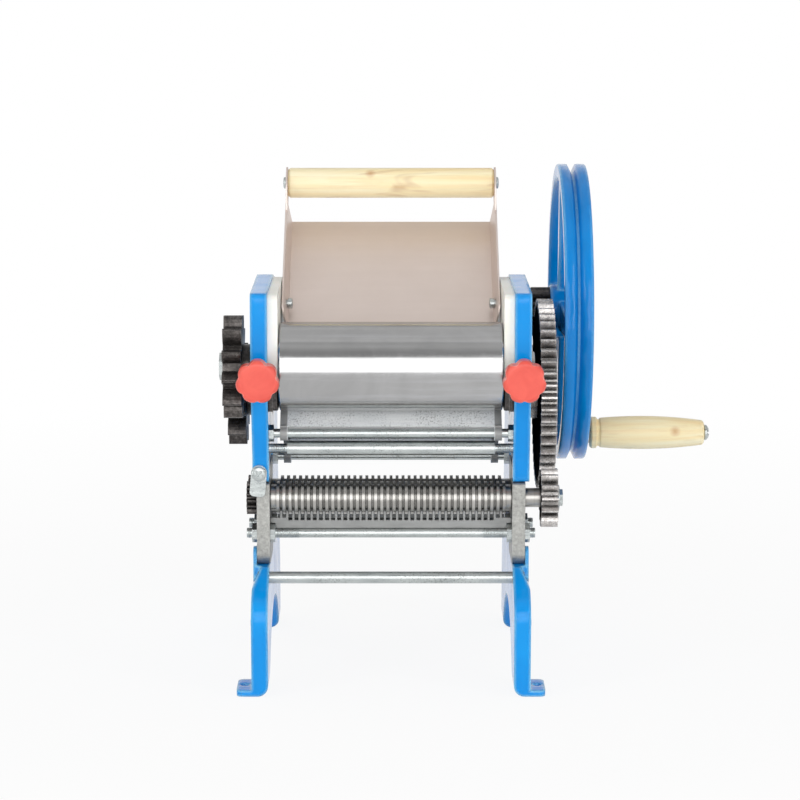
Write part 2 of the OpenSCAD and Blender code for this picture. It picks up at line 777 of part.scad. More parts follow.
// Rings and core of one cutter
module ring_stack(count) {
    first = -(count - 1) / 2 * ring_pitch - ring_w / 2;
    rings = [for (k = [0 : count - 1]) let (x = first + k * ring_pitch)
             each [[core_d / 2, x], [ring_d / 2, x], [ring_d / 2, x + ring_w], [core_d / 2, x + ring_w]]];
    turned(concat([[0, -plate_in + side_play], [core_d / 2, -plate_in + side_play]], rings,
                  [[core_d / 2, plate_in - side_play], [0, plate_in - side_play]]));
}
pinion_screw_d = 6;
pinion_screw_l = 12;
module front_cutter() {
    color(steel) at(cutter_axis) difference() {
        union() {
            ring_stack(ring_count);
            bar(journal_d, -cutter_gear_in, cutter_pinion_in);
            bar(cutter_seat_d, -cutter_gear_out, cutter_pinion_out);
        }
        bar(pinion_screw_d + 2 * seat_fit, cutter_pinion_out - pinion_screw_l - near, cutter_pinion_out + cut);
    }
}
module rear_cutter() {
    color(steel) at(back_cutter_axis) {
        ring_stack(ring_count - 1);
        bar(journal_d, -cutter_gear_in, plate_out);
        bar(cutter_seat_d, -cutter_gear_out, 0);
    }
}
module cutter_gear(turn) {
    difference() {
        side(-cutter_gear_out, cutter_gear_w) polygon(gear_outline(cutter_module, cutter_teeth, turn));
        bar(cutter_seat_d + 2 * seat_fit, -cutter_gear_out - cut, -cutter_gear_in + cut);
    }
}
module front_cutter_gear() {
    color(black_iron) at(cutter_axis) cutter_gear(0);
}
module rear_cutter_gear() {
    color(black_iron) at(back_cutter_axis) cutter_gear(back_cutter_turn);
}
module cutter_pinion() {
    color(iron) at(cutter_axis) difference() {
        side(cutter_pinion_in, cutter_pinion_out - cutter_pinion_in)
            polygon(gear_outline(drive_module, cutter_pinion_teeth, cutter_pinion_turn));
        bar(cutter_seat_d + 2 * seat_fit, cutter_pinion_in - cut, cutter_pinion_out + cut);
    }
}
module pinion_screw() {
    washer_d = 16.5;
    washer_t = 1.2;
    head_af = 10;
    head_t = 2.3;
    color(zinc) at(cutter_axis) {
        bar(pinion_screw_d, cutter_pinion_out - pinion_screw_l, cutter_pinion_out + washer_t);
        bar(washer_d, cutter_pinion_out, cutter_pinion_out + washer_t);
        hex(head_af, cutter_pinion_out + washer_t, cutter_pinion_out + washer_t + head_t);
    }
}

// Latch that holds the cutter head in its pocket
module latch_strap() {
    corner_r = 3;
    color(zinc) translate([latch_x, 0, latch_z]) rotate([0, latch_lean, 0]) face(latch_back, latch_t)
        difference() {
            union() {
                circle(d = latch_w);
                polygon(rounded([
                    [-latch_w / 2, 0, 0],
                    [-latch_w / 2, -latch_l, corner_r],
                    [latch_w / 2, -latch_l, corner_r],
                    [latch_w / 2, 0, 0]
                ]));
            }
            circle(d = latch_screw_d + 2 * running_fit);
        }
}
module latch_screw() {
    head_t = 3;
    color(zinc) translate([latch_x, latch_front - slide_fit, latch_z]) {
        pin(latch_head_d, -head_t, 0);
        pin(latch_screw_d, -head_t, lip_front + latch_seat - latch_front + slide_fit);
    }
}

// Pressing rollers
roller_edge = 0.8;
gear_nut_t = 3.2;
gear_nut_af = 16;
drive_nut_t = 4.5;
// Points of a roller from its left stud to the right end of its barrel
roller_points = [
    [0, -roller_gear_out - gear_nut_t],
    [stud_d / 2, -roller_gear_out - gear_nut_t],
    [stud_d / 2, -roller_gear_out],
    [gear_seat_d / 2, -roller_gear_out],
    [gear_seat_d / 2, -hub_face],
    [shaft_d / 2, -hub_face],
    [shaft_d / 2, -roller_end],
    [roller_d / 2 - roller_edge, -roller_end],
    [roller_d / 2, -roller_end + roller_edge],
    [roller_d / 2, roller_end - roller_edge],
    [roller_d / 2 - roller_edge, roller_end],
    [shaft_d / 2, roller_end]
];
module front_roller() {
    shaft_end = frame_out + 3;
    color(steel) at(front_axis) turned(concat(roller_points, [[shaft_d / 2, shaft_end], [0, shaft_end]]));
}
module rear_roller() {
    stud_end = drive_seat + drive_nut_t;
    color(steel) at(rear_axis) turned(concat(roller_points, [
        [shaft_d / 2, hub_face],
        [gear_seat_d / 2, hub_face],
        [gear_seat_d / 2, drive_seat],
        [stud_d / 2, drive_seat],
        [stud_d / 2, stud_end],
        [0, stud_end]
    ]));
}
module roller_gear(turn) {
    gear_hub_d = 30;
    difference() {
        union() {
            side(-roller_gear_out, roller_gear_w) polygon(gear_outline(roller_module, roller_teeth, turn));
            bar(gear_hub_d, -roller_gear_out + cut, -hub_face);
        }
        bar(gear_seat_d + 2 * seat_fit, -roller_gear_out - cut, -hub_face + cut);
    }
}
module front_roller_gear() {
    color(black_iron) at(front_axis) roller_gear(front_gear_turn);
}
module rear_roller_gear() {
    color(black_iron) at(rear_axis) roller_gear(rear_gear_turn);
}
module gear_nut() {
    nut(gear_nut_af, stud_d + 2 * seat_fit, -roller_gear_out - gear_nut_t, -roller_gear_out);
}
module front_gear_nut() {
    color(zinc) at(front_axis) gear_nut();
}
module rear_gear_nut() {
    color(zinc) at(rear_axis) gear_nut();
}
module drive_gear() {
    drive_hub_d = 34;
    rim_in_r = drive_r - 8;
    color(iron) at(rear_axis) difference() {
        union() {
            side(drive_gear_in, drive_gear_w) polygon(gear_outline(drive_module, drive_teeth, 0));
            bar(drive_hub_d, hub_face, drive_gear_in + cut);
        }
        bar(2 * rim_in_r, drive_seat, drive_gear_out + cut);
        bar(gear_seat_d + 2 * seat_fit, hub_face - cut, drive_gear_out + cut);
    }
}
module drive_gear_nut() {
    color(zinc) at(rear_axis) nut(gear_nut_af, stud_d + 2 * seat_fit, drive_seat, drive_seat + drive_nut_t);
}

// Bearing blocks of the front roller, which slide in the frames' slots
module bearing_block() {
    flange_t = 3;
    flange_top = cheek_bottom - cut - near;
    block_bottom = front_axis[1] - block_h / 2;
    flange_bottom = block_bottom - 8;
    difference() {
        union() {
            side(frame_in + slide_fit, frame_t - slide_fit)
                translate([block_front, block_bottom]) square([block_d, block_h]);
            side(frame_in - slide_fit - flange_t, flange_t)
                translate([block_front, flange_bottom]) square([block_d, flange_top - flange_bottom]);
            side(frame_in - slide_fit - flange_t, flange_t + cut)
                translate([block_front, block_bottom]) square([block_d, flange_top - block_bottom]);
        }
        at(front_axis) bar(shaft_d + 2 * running_fit, cheek_in - cut, frame_out + cut);
        translate([frame_mid, 0, screw_axis[1]])
            pin(screw_d + 2 * running_fit, block_front - cut, block_front + swivel_l + slide_fit);
    }
}
module left_bearing_block() {
    color(black_iron) mirror([1, 0, 0]) bearing_block();
}
module right_bearing_block() {
    color(black_iron) bearing_block();
}

// Adjusting screws and star knobs
screw_collar_d = 16;
knob_air = 0.6;
knob_back = front_axis[0] - roller_tip_r - knob_air;
screw_collar_back = frame_front - 3.5;
screw_in = 8;
module adjusting_screw() {
    translate([frame_mid, 0, screw_axis[1]]) {
        pin(screw_d, knob_back - screw_in, block_front + swivel_l);
        pin(screw_collar_d, knob_back, screw_collar_back);
    }
}
module star() {
    lobe_d = 11.5;
    wave = 1.8;
    circle(d = knob_d - 2 * wave);
    for (k = [0 : knob_lobes - 1])
        rotate(90 + 360 / knob_lobes * k) translate([knob_d / 2 - lobe_d / 2, 0]) circle(d = lobe_d);
}
module knob() {
    soft = 3.5;
    back_edge = 1.5;
    r = knob_d / 2;
    translate([frame_mid, 0, screw_axis[1]]) difference() {
        intersection() {
            face(knob_back, knob_t) star();
            translate([0, knob_back, 0]) rotate([90, 0, 0]) rotate_extrude() polygon(rounded([
                [0, 0, 0],
                [r, 0, back_edge],
                [r, knob_t, soft],
                [0, knob_t, 0]
            ]));
        }
        pin(screw_d + 2 * seat_fit, knob_back - screw_in - near, knob_back + cut);
    }
}
module left_knob() {
    color(coral) mirror([1, 0, 0]) knob();
}
module right_knob() {
    color(coral) knob();
}
module left_adjusting_screw() {
    color(zinc) mirror([1, 0, 0]) adjusting_screw();
}
module right_adjusting_screw() {
    color(zinc) adjusting_screw();
}

// Handwheel and its shaft
module spoke() {
    spoke_end = rim_r + 2;
    side(spoke_in, spoke_t) polygon([
        [0, -spoke_root_w / 2],
        [spoke_end, -spoke_tip_w / 2],
        [spoke_end, spoke_tip_w / 2],
        [0, spoke_root_w / 2]
    ]);
}
module handwheel() {
    draft = 1.5;
    outer_r = wheel_d / 2;
    color(cast_blue) at(wheel_axis) difference() {
        union() {
            turned([
                [rim_r + draft, rim_in],
                [outer_r, rim_in],
                [outer_r, rim_mid - groove_w / 2],
                [outer_r - groove_depth, rim_mid],
                [outer_r, rim_mid + groove_w / 2],
                [outer_r, rim_out],
                [rim_r + draft, rim_out],
                [rim_r, rim_mid]
            ]);
            bar(hub_d, hub_in, hub_out);
            for (k = [0 : spokes - 1]) rotate([360 / spokes * k - 90, 0, 0]) spoke();
            at([0, -crank_r]) bar(crank_boss_d, spoke_in, rim_out);
        }
        bar(wheel_shaft_d + 2 * seat_fit, hub_in - cut, hub_out + cut);
        at([0, -crank_r]) bar(crank_bolt_d + 2 * seat_fit, rim_in, rim_out + cut);
    }
}
module wheel_shaft() {
    color(steel) at(wheel_axis) {
        bar(wheel_shaft_d, -hub_face - collar_t, hub_out);
        bar(wheel_stud_d, hub_out, hub_out + wheel_nut_t + cut);
    }
}
module wheel_collar() {
    color(zinc) at(wheel_axis) difference() {
        bar(collar_d, -hub_face - collar_t, -hub_face);
        bar(wheel_shaft_d + 2 * seat_fit, -hub_face - collar_t - cut, -hub_face + cut);
    }
}
module wheel_pinion() {
    boss_d = 24;
    color(black_iron) at(wheel_axis) difference() {
        union() {
            side(wheel_pinion_in, wheel_pinion_out - wheel_pinion_in)
                polygon(gear_outline(drive_module, wheel_pinion_teeth, wheel_pinion_turn));
            bar(boss_d, hub_face, wheel_pinion_in + cut);
        }
        bar(wheel_shaft_d + 2 * seat_fit, hub_face - cut, wheel_pinion_out + cut);
    }
}
module wheel_nut() {
    color(zinc) at(wheel_axis) nut(wheel_nut_af, wheel_stud_d + 2 * seat_fit, hub_out, hub_out + wheel_nut_t);
}
module crank_bolt() {
    color(zinc) at(crank_axis) {
        bar(crank_bolt_d, rim_in + cut, crank_head_in);
        bar(crank_head_d, crank_head_in, crank_head_in + crank_head_t);
    }
}
module crank_nut() {
    color(zinc) at(crank_axis) nut(crank_nut_af, crank_bolt_d + 2 * seat_fit, rim_out, rim_out + crank_nut_t);
}
module crank_grip() {
    collar_l = 5.5;
    neck_l = 2;
    neck_r = grip_d / 2 - 2.2;
    barrel_in = grip_in + collar_l + neck_l;
    barrel_l = grip_out - barrel_in;
    edge = 1.2;
    end_drop = 3;
    start_drop = 1.2;
    bulge_at = 0.4;
    barrel_steps = 14;
    r = grip_d / 2;
    bore_r = crank_bolt_d / 2 + running_fit;
    barrel = [for (k = [0 : barrel_steps]) let (t = k / barrel_steps, s = t - bulge_at)
              [r - (s < 0 ? start_drop * pow(s / bulge_at, 2) : end_drop * pow(s / (1 - bulge_at), 2)),
               barrel_in + (barrel_l - edge) * t]];
    color(pine) at(crank_axis) turned(concat(
        [
            [bore_r, grip_in],
            [r - start_drop - edge / 2, grip_in],
            [r - start_drop + edge / 2, grip_in + edge],
            [r - start_drop + edge / 2, grip_in + collar_l - edge],
            [neck_r, grip_in + collar_l],
            [neck_r, grip_in + collar_l + neck_l / 2]
        ],
        barrel,
        [
            [r - end_drop - edge, grip_out],
            [bore_r, grip_out]
        ]));
}

// Feed tray
module tray_frame() {
    at(tray_pivot) rotate([tray_tilt, 0, 0]) children();
}
handle_arm_r = 11;
// Section of the bent sheet in X and height, from the right fold up and round to the left
flange_dir = [sin(flange_lean), cos(flange_lean)];
flange_in = [-cos(flange_lean), sin(flange_lean)] * sheet_t;
flange_base = [fold_x, -flange_foot];
flange_edge = flange_base + flange_dir * flange_h;
inner_fold = flange_base + flange_in + flange_dir * sheet_t * (1 - sin(flange_lean)) / cos(flange_lean);
tray_half = [flange_base, flange_edge, flange_edge + flange_in, inner_fold];
tray_section = concat(tray_half, [for (k = [len(tray_half) - 1 : -1 : 0]) [-tray_half[k][0], tray_half[k][1]]]);
// Waste outside the round front corners of the flanges
module nose_waste() {
    nose_r = 10;
    top = flange_edge[1] + sheet_t;
    nose = [for (k = [0 : arc_steps]) [nose_r - tray_front, top - nose_r] + polar(nose_r, 180 - 90 * k / arc_steps)];
    side(-frame_in, 2 * frame_in) polygon(concat(
        [[-tray_front - cut, top + cut], [-tray_front - cut, top - nose_r]],
        nose,
        [[nose_r - tray_front, top + cut]]
    ));
}
module feed_tray() {
    arm_root = 12;
    arm_low = 3;
    screw_hole_d = 4.4;
    color(sheet_grey) tray_frame() difference() {
        union() {
            face(tray_rear, tray_front + tray_rear) polygon(tray_section);
            both() side(arm_x, sheet_t) polygon(rounded([
                [tray_rear - arm_root, arm_low, 0],
                [handle_u + handle_arm_r, arm_low + 2, handle_arm_r],
                [handle_u + handle_arm_r, handle_rise + handle_arm_r, handle_arm_r],
                [handle_u - handle_arm_r, handle_rise + handle_arm_r, handle_arm_r],
                [tray_rear - arm_root, arm_low + arm_root, 0]
            ]));
        }
        nose_waste();
        bar(pivot_d + 1, -frame_in, frame_in);
        at([handle_u, handle_rise]) bar(screw_hole_d, -frame_in, frame_in);
    }
}
handle_end = arm_x - slide_fit;
handle_screw_d = 4;
handle_screw_l = 14;
module carry_handle() {
    soft = 1.5;
    r = handle_d / 2;
    color(pine) tray_frame() at([handle_u, handle_rise]) difference() {
        turned([
            [0, -handle_end],
            [r - soft, -handle_end],
            [r, -handle_end + soft],
            [r, handle_end - soft],
            [r - soft, handle_end],
            [0, handle_end]
        ]);
        both() bar(handle_screw_d + 2 * seat_fit, handle_end - handle_screw_l - near, handle_end + cut);
    }
}
module handle_screws() {
    head_d = 8;
    head_t = 1.6;
    color(zinc) tray_frame() at([handle_u, handle_rise]) both() {
        bar(handle_screw_d, handle_end - handle_screw_l, arm_x + sheet_t);
        bar(head_d, arm_x + sheet_t, arm_x + sheet_t + head_t);
    }
}
module tray_screws() {
    color(zinc) at(tray_pivot) both() {
        bar(pivot_head_d, pivot_x - pivot_head_t, pivot_x);
        bar(pivot_d, pivot_x, frame_in + pivot_seat);
    }
}

left_frame();
right_frame();
left_cheek();
right_cheek();
rear_roller_bushes();
wheel_shaft_bushes();
upper_tie_rod();
lower_tie_rod();
rear_tie_rod();
tray_rest_rod();
front_scraper();
front_scraper_rod();
rear_scraper();
rear_scraper_rod();
scraper_nuts();
left_cutter_plate();
right_cutter_plate();
front_comb();
rear_comb();
cutter_tie_rods();
cutter_rod_nuts();
latch_screw();
tray_screws();
handwheel();
wheel_shaft();
wheel_pinion();
wheel_nut();
wheel_collar();
crank_bolt();
crank_nut();
crank_grip();
rear_roller();
rear_roller_gear();
drive_gear();
rear_gear_nut();
drive_gear_nut();
left_bearing_block();
right_bearing_block();
front_roller();
front_roller_gear();
front_gear_nut();
left_knob();
left_adjusting_screw();
right_knob();
right_adjusting_screw();
front_cutter();
cutter_pinion();
pinion_screw();
front_cutter_gear();
rear_cutter();
rear_cutter_gear();
latch_strap();
feed_tray();
carry_handle();
handle_screws();
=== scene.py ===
"""Looks of a hand-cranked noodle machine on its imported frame. Metres, Z up."""
import json
import math

import bpy
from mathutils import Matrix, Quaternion, Vector


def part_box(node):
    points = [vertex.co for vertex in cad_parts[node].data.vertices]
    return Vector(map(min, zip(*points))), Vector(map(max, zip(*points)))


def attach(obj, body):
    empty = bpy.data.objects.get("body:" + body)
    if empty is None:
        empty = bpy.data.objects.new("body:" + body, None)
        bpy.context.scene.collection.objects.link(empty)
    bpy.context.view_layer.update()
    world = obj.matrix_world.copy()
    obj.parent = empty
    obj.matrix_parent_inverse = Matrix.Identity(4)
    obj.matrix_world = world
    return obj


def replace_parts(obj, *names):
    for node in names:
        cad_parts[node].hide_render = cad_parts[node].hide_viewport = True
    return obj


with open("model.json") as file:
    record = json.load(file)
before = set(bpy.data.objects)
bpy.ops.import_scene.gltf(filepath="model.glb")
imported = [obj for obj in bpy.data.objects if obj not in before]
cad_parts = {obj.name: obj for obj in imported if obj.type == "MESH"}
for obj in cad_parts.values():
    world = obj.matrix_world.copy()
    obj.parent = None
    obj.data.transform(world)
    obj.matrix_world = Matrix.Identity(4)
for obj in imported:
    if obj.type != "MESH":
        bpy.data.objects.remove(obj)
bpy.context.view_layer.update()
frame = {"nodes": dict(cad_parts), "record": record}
nodes = frame["nodes"]
slot_of = {part["node"]: part["material_slot"] for part in frame["record"]["subparts"]}

MM = 0.001
IMAGE = 800
SENSOR = 36.0
FOCAL_PX = 2700.0
HORIZON_PX = -80.0
CENTRE_PX = 391.0
CAMERA_AT = Vector((0.0, -1.832, 0.507))
WHITE = (1.0, 1.0, 1.0, 1.0)
FLOOR_GAP = 0.5 * MM
FILL = 0.45
SCRAPER_LUG = 5.0 * MM
SIDES = ((-1, "left"), (1, "right"))


def linear(red, green, blue):
    """A display colour, 0 to 255, as linear light with alpha."""
    def channel(value):
        value /= 255.0
        return value / 12.92 if value <= 0.04045 else ((value + 0.055) / 1.055) ** 2.4
    return (channel(red), channel(green), channel(blue), 1.0)


class Material:
    """A principled material with short calls for its nodes."""

    def __init__(self, name, **constants):
        self.data = bpy.data.materials.new(name)
        self.data.use_nodes = True
        self.tree = self.data.node_tree
        self.shader = self.tree.nodes["Principled BSDF"]
        for socket, value in constants.items():
            self.shader.inputs[socket.replace("_", " ")].default_value = value
        self.place = self.node("ShaderNodeTexCoord").outputs["Object"]

    def node(self, kind, inputs=None, **settings):
        made = self.tree.nodes.new(kind)
        for name, value in settings.items():
            setattr(made, name, value)
        for name, value in (inputs or {}).items():
            self.feed(made.inputs[name], value)
        return made

    def feed(self, socket, value):
        if isinstance(value, bpy.types.NodeSocket):
            self.tree.links.new(value, socket)
        else:
            socket.default_value = value

    def set(self, socket, value):
        self.feed(self.shader.inputs[socket], value)

    def stretched(self, scale, turn=(0.0, 0.0, 0.0)):
        mapping = self.node("ShaderNodeMapping", {"Vector": self.place, "Scale": scale, "Rotation": turn})
        return mapping.outputs["Vector"]

    def noise(self, scale, detail=4.0, roughness=0.55, distortion=0.0, vector=None):
        made = self.node("ShaderNodeTexNoise", {
            "Vector": vector or self.place, "Scale": scale, "Detail": detail,
            "Roughness": roughness, "Distortion": distortion})
        return made.outputs["Fac"]

    def ramp(self, value, *stops):
        made = self.node("ShaderNodeValToRGB", {"Fac": value})
        elements = made.color_ramp.elements
        while len(elements) < len(stops):
            elements.new(0.5)
        for element, (position, colour) in zip(elements, stops):
            element.position = position
            element.color = colour
        return made.outputs["Color"]

    def span(self, value, low, high, start=0.0, end=1.0):
        made = self.node("ShaderNodeMapRange", {
            "Value": value, "From Min": start, "From Max": end, "To Min": low, "To Max": high})
        return made.outputs["Result"]

    def mix(self, amount, first, second):
        made = self.node("ShaderNodeMix", data_type="RGBA", blend_type="MIX")
        sockets = [s for s in made.inputs if s.enabled]
        for socket, value in zip(sockets, (amount, first, second)):
            self.feed(socket, value)
        return [s for s in made.outputs if s.enabled][0]

    def maths(self, operation, first, second):
        made = self.node("ShaderNodeMath", operation=operation)
        self.feed(made.inputs[0], first)
        self.feed(made.inputs[1], second)
        return made.outputs["Value"]

    def rounded(self, radius, samples=4):
        """Normal of the surface with its edges rounded."""
        return self.node("ShaderNodeBevel", {"Radius": radius}, samples=samples).outputs["Normal"]

    def edges(self, radius, spread):
        """1 on sharp edges, 0 on open surface."""
        soft = self.rounded(radius, 6)
        true = self.node("ShaderNodeNewGeometry").outputs["Normal"]
        dot = self.node("ShaderNodeVectorMath", operation="DOT_PRODUCT")
        self.feed(dot.inputs[0], soft)
        self.feed(dot.inputs[1], true)
        return self.span(dot.outputs["Value"], 1.0, 0.0, 1.0 - spread, 1.0)

    def hollows(self, reach, full, none):
        """Ambient occlusion mask for painted shade: 1 deep between close walls, 0 on open surface."""
        shade = self.node("ShaderNodeAmbientOcclusion", {"Distance": reach}, samples=8)
        return self.span(shade.outputs["AO"], 1.0, 0.0, full, none)

    def bump(self, height, strength, distance, normal=None):
        inputs = {"Height": height, "Strength": strength, "Distance": distance}
        if normal is not None:
            inputs["Normal"] = normal
        return self.node("ShaderNodeBump", inputs).outputs["Normal"]


def enamel(name, deep, mid, pale):
    """Thick glossy paint over a sand casting: sags a little, thins at the edges where it is rubbed, and
    carries a painted pale highlight line along its rounded edges.
    """
    m = Material(name, Coat_Weight=0.4, Coat_Roughness=0.05, Specular_IOR_Level=0.1)
    base = m.ramp(m.noise(14.0, 3.0), (0.3, deep), (0.55, mid), (0.75, pale))
    # painted highlight: a pale cyan line along the rounded edges, broken up by noise
    highlight_breaks = m.span(m.noise(24.0, 3.0), 0.3, 0.9, 0.35, 0.6)
    painted_highlight = m.maths("MULTIPLY", m.edges(3.0 * MM, 0.12), highlight_breaks)
    base = m.mix(painted_highlight, base, linear(150, 222, 252))
    rubbed = m.span(m.noise(160.0, 5.0, 0.7), 0.0, 0.5, 0.52, 0.72)
    worn = m.maths("MULTIPLY", m.edges(0.9 * MM, 0.25), rubbed)
    m.set("Base Color", m.mix(worn, base, linear(120, 186, 224)))
    m.set("Roughness", m.span(m.noise(45.0, 4.0), 0.14, 0.26, 0.3, 0.7))
    skin = m.bump(m.noise(260.0, 2.0, 0.5), 0.16, 0.25 * MM, m.rounded(4.5 * MM, 8))
    skin = m.bump(m.noise(60.0, 2.0, 0.5), 0.3, 1.2 * MM, skin)
    m.set("Normal", skin)
    m.set("Coat Normal", skin)
    return m.data


def nylon_cream():
    """Cast nylon, faintly mottled and milled."""
    m = Material("cream_nylon", Subsurface_Weight=0.08, Subsurface_Scale=0.004)
    mottle = m.noise(60.0, 5.0)
    m.set("Base Color", m.ramp(mottle, (0.3, linear(246, 245, 233)), (0.7, linear(253, 252, 246))))
    m.set("Roughness", m.span(m.noise(120.0), 0.38, 0.55, 0.3, 0.7))
    lines = m.noise(90.0, 3.0, vector=m.stretched((0.3, 1.0, 14.0)))
    m.set("Normal", m.bump(lines, 0.12, 0.1 * MM, m.rounded(0.8 * MM)))
    return m.data


def steel_finish(name, dark, light, rough, grain, strength=0.12, soft=0.3 * MM, spots=None,
                 metallic=1.0, gap_shade=None, ends=None):
    """Bare or plated steel: tool marks along the stretched axis, clouds and dulled spots.

    Painted shade darkens its gaps, and ends colours what lies beyond a distance from the middle in X.
    """
    m = Material(name, Metallic=metallic)
    marks = m.noise(1.0, 5.0, 0.65, vector=m.stretched(grain))
    cloud = m.noise(38.0, 4.0, 0.6)
    base = m.ramp(m.maths("ADD", m.maths("MULTIPLY", marks, 0.6), m.maths("MULTIPLY", cloud, 0.4)),
                  (0.32, dark), (0.68, light))
    if spots:
        patch = m.span(m.noise(30.0, 3.0), 0.0, 1.0, 0.38, 0.6)
        speck = m.span(m.noise(900.0, 3.0, 0.7), 0.0, 0.8, 0.52, 0.66)
        base = m.mix(m.maths("MULTIPLY", patch, speck), base, spots)
    if gap_shade:
        # painted shade: darker where close walls shade the gaps
        base = m.mix(m.hollows(3.0 * MM, 0.25, 0.75), base, gap_shade)
    if ends:
        start, colour = ends
        across = m.node("ShaderNodeSeparateXYZ", {"Vector": m.place}).outputs["X"]
        square = m.maths("MULTIPLY", across, across)
        far = m.span(square, 0.0, 1.0, start ** 2, (start + 0.5 * MM) ** 2)
        base = m.mix(far, base, colour)
    m.set("Base Color", base)
    m.set("Roughness", m.span(marks, rough[0], rough[1], 0.3, 0.7))
    m.set("Normal", m.bump(marks, strength, 0.12 * MM, m.rounded(soft)))
    return m.data


def cast_finish(name, dark, mid, light, rough, edge_light, edge=0.5, skin=None, gap_shade=None):
    """Cast or cut iron with a fine speckle, rubbed bright at its edges.

    A skin is a dark matt colour on the sides that face along X: the cast skin's tone together with painted
    shade on those sides. Painted shade also darkens the gaps.
    """
    metallic = 0.75
    m = Material(name, Metallic=metallic)
    speck = m.noise(420.0, 3.0, 0.75)
    cloud = m.noise(30.0, 4.0)
    base = m.ramp(m.maths("ADD", m.maths("MULTIPLY", speck, 0.65), m.maths("MULTIPLY", cloud, 0.35)),
                  (0.32, dark), (0.5, mid), (0.68, light))
    rubbed = m.span(m.noise(90.0, 5.0), 0.1, edge, 0.35, 0.65)
    base = m.mix(m.maths("MULTIPLY", m.edges(0.7 * MM, 0.3), rubbed), base, edge_light)
    if skin:
        # painted shade with the cast skin's tone: sides facing along X turn dark and matt
        facing = m.node("ShaderNodeNewGeometry").outputs["True Normal"]
        across = m.node("ShaderNodeSeparateXYZ", {"Vector": facing}).outputs["X"]
        flat = m.span(m.maths("MULTIPLY", across, across), 0.0, 1.0, 0.8, 0.95)
        base = m.mix(flat, base, skin)
        m.set("Metallic", m.span(flat, metallic, 0.0))
        m.set("Specular IOR Level", m.span(flat, 0.5, 0.0))
    if gap_shade:
        # painted shade: darker where close walls shade the gaps between teeth
        base = m.mix(m.hollows(5.0 * MM, 0.3, 0.8), base, gap_shade)
    m.set("Base Color", base)
    m.set("Roughness", m.span(m.noise(140.0, 4.0), rough[0], rough[1], 0.3, 0.7))
    m.set("Normal", m.bump(speck, 0.35, 0.18 * MM, m.rounded(0.5 * MM)))
    return m.data


def coral_plastic():
    """Moulded coral red plastic with a faint flow mark and a painted pale highlight along its edges."""
    m = Material("coral_plastic", Subsurface_Weight=0.06, Subsurface_Scale=0.002,
                 Coat_Weight=0.15, Coat_Roughness=0.2)
    flow = m.noise(55.0, 4.0, 0.6, 0.8)
    base = m.ramp(flow, (0.3, linear(226, 76, 62)), (0.7, linear(238, 94, 78)))
    # painted highlight: a pale outline along the knob's edges
    m.set("Base Color", m.mix(m.edges(1.4 * MM, 0.2), base, linear(255, 196, 184)))
    m.set("Roughness", m.span(m.noise(180.0), 0.28, 0.42, 0.3, 0.7))
    m.set("Normal", m.bump(m.noise(700.0, 3.0), 0.1, 0.08 * MM, m.rounded(0.8 * MM)))
    return m.data


def knots():
    """Where a brown knot shows on the crank grip and on the carry handle."""
    grip_along, grip_up, grip_depth = 0.74, 0.62, 1.0 * MM
    handle_along, handle_depth = 0.4, 3.0 * MM
    low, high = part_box("crank_grip")
    yield low.x + grip_along * (high.x - low.x), low.y + grip_depth, low.z + grip_up * (high.z - low.z)
    low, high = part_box("carry_handle")
    yield low.x + handle_along * (high.x - low.x), low.y + handle_depth, high.z - handle_depth


def pine_wood():
    """Turned pine: long grain along X, growth bands, a few brown streaks and knots under thin lacquer."""
    m = Material("pine", Coat_Weight=0.18, Coat_Roughness=0.3)
    along = m.stretched((5.0, 46.0, 46.0))
    grain = m.noise(1.0, 6.0, 0.6, 1.2, along)
    bands = m.node("ShaderNodeTexWave", {
        "Vector": m.stretched((3.0, 30.0, 58.0), (0.1, 0.0, 0.06)), "Scale": 1.0, "Distortion": 5.0,
        "Detail": 3.0, "Detail Scale": 0.8}, bands_direction="Z").outputs["Fac"]
    fine = m.noise(1.0, 4.0, 0.7, vector=m.stretched((24.0, 620.0, 620.0)))
    tone = m.maths("ADD", m.maths("MULTIPLY", grain, 0.8), m.maths("MULTIPLY", bands, 0.08))
    base = m.ramp(tone, (0.25, linear(247, 215, 158)), (0.42, linear(252, 233, 184)),
                  (0.6, linear(254, 244, 208)))
    for knot in knots():
        away = m.node("ShaderNodeVectorMath", {0: m.place, 1: knot}, operation="DISTANCE")
        ragged = m.maths("ADD", away.outputs["Value"], m.maths("MULTIPLY", grain, 3.0 * MM))
        base = m.mix(m.span(ragged, 0.7, 0.0, 2.0 * MM, 6.0 * MM), base, linear(206, 150, 92))
    streak = m.noise(1.0, 3.0, 0.5, 2.0, m.stretched((9.0, 60.0, 60.0)))
    base = m.mix(m.span(streak, 0.0, 0.75, 0.66, 0.8), base, linear(176, 112, 60))
    m.set("Base Color", m.mix(m.span(fine, 0.0, 0.25, 0.5, 0.8), base, linear(196, 148, 92)))
    m.set("Roughness", m.span(grain, 0.38, 0.55, 0.3, 0.7))
    m.set("Normal", m.bump(fine, 0.16, 0.12 * MM, m.rounded(0.8 * MM)))
    return m.data


def roller_steel():
    """Ground and polished roller: fine rings of turning, water marks, a soft mirror."""
    m = Material("polished_roller", Metallic=1.0)
    rings = m.noise(1.0, 3.0, 0.6, vector=m.stretched((1500.0, 6.0, 6.0)))
    cloud = m.noise(22.0, 5.0, 0.6, 0.6)
    wiped = m.noise(1.0, 4.0, 0.6, vector=m.stretched((9.0, 170.0, 170.0)))
    base = m.ramp(cloud, (0.3, linear(164, 164, 164)), (0.7, linear(180, 180, 180)))
    m.set("Base Color", m.mix(m.span(wiped, 0.0, 0.5, 0.5, 0.75), base, linear(196, 197, 200)))
    worked = m.maths("ADD", m.maths("MULTIPLY", rings, 0.4), m.maths("MULTIPLY", wiped, 0.6))
    m.set("Roughness", m.span(worked, 0.1, 0.24, 0.3, 0.7))
    m.set("Normal", m.bump(rings, 0.05, 0.05 * MM, m.rounded(0.5 * MM)))
    return m.data


